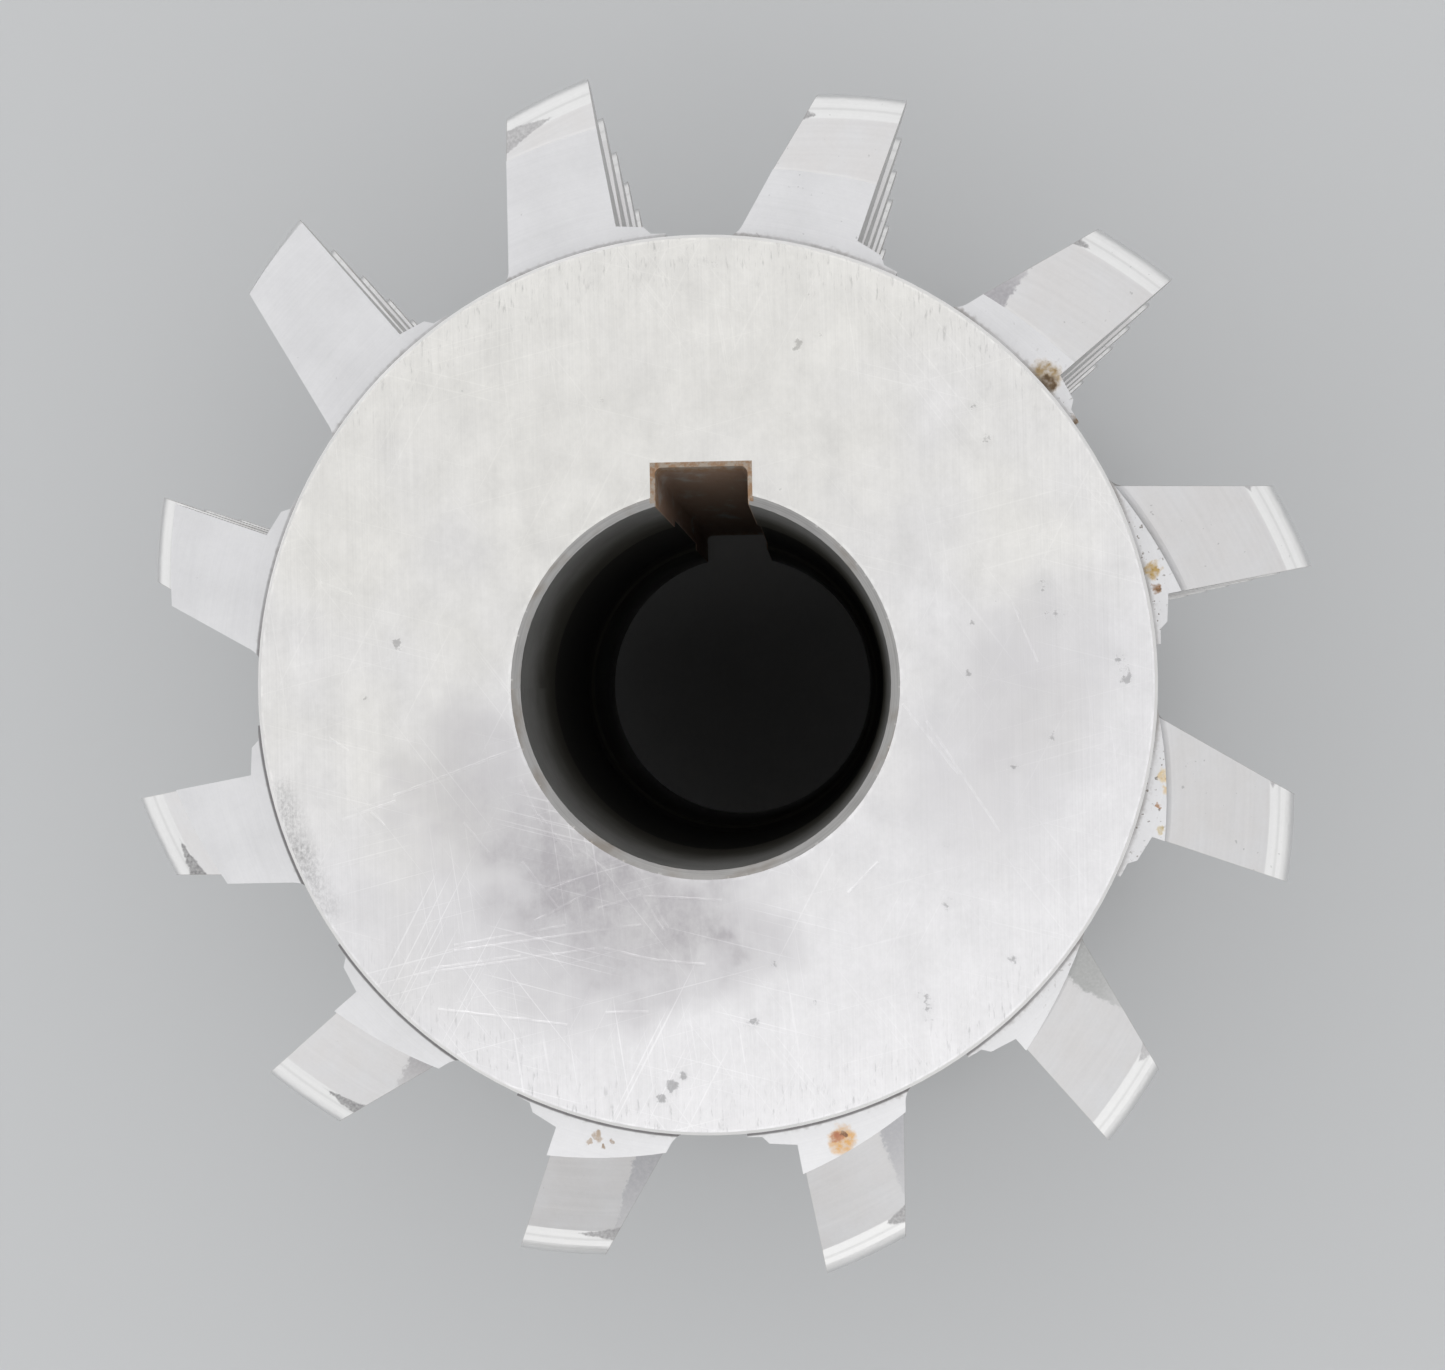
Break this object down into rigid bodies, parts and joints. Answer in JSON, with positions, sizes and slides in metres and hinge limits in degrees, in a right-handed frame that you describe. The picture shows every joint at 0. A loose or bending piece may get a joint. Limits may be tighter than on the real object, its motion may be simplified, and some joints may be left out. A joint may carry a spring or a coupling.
{
  "type": "gear hob",
  "caption": "Solid gear-cutting hob: a ground body with a keyed arbor bore, two proof hubs, and rows of relieved rack teeth on a right-hand thread, parted by straight gashes.",
  "frame": {"origin": "centre of the rear hub's end face, on the bore axis", "axes": "+Z along the bore axis towards the front hub, +Y through the middle of the keyway, +X completes the right-handed frame"},
  "size_m": [0.1072, 0.1072, 0.104],
  "materials": {
    "ground_face": "ground hub face and rim: pale high-speed steel with fine straight grinding lines, scratches and small stains",
    "core_steel": "internally ground bore, darker and oily, with rust in the keyway",
    "tooth_steel": "satin relief-ground tooth flanks with brighter tip radii and darker unground patches at the heels"
  },
  "bodies": {
    "root": {"core": "core_steel", "front_hub": "ground_face", "rear_hub": "ground_face", "tooth_row_01": "tooth_steel", "tooth_row_02": "tooth_steel", "tooth_row_03": "tooth_steel", "tooth_row_04": "tooth_steel", "tooth_row_05": "tooth_steel", "tooth_row_06": "tooth_steel", "tooth_row_07": "tooth_steel", "tooth_row_08": "tooth_steel", "tooth_row_09": "tooth_steel", "tooth_row_10": "tooth_steel", "tooth_row_11": "tooth_steel", "tooth_row_12": "tooth_steel"}
  },
  "joints": []
}
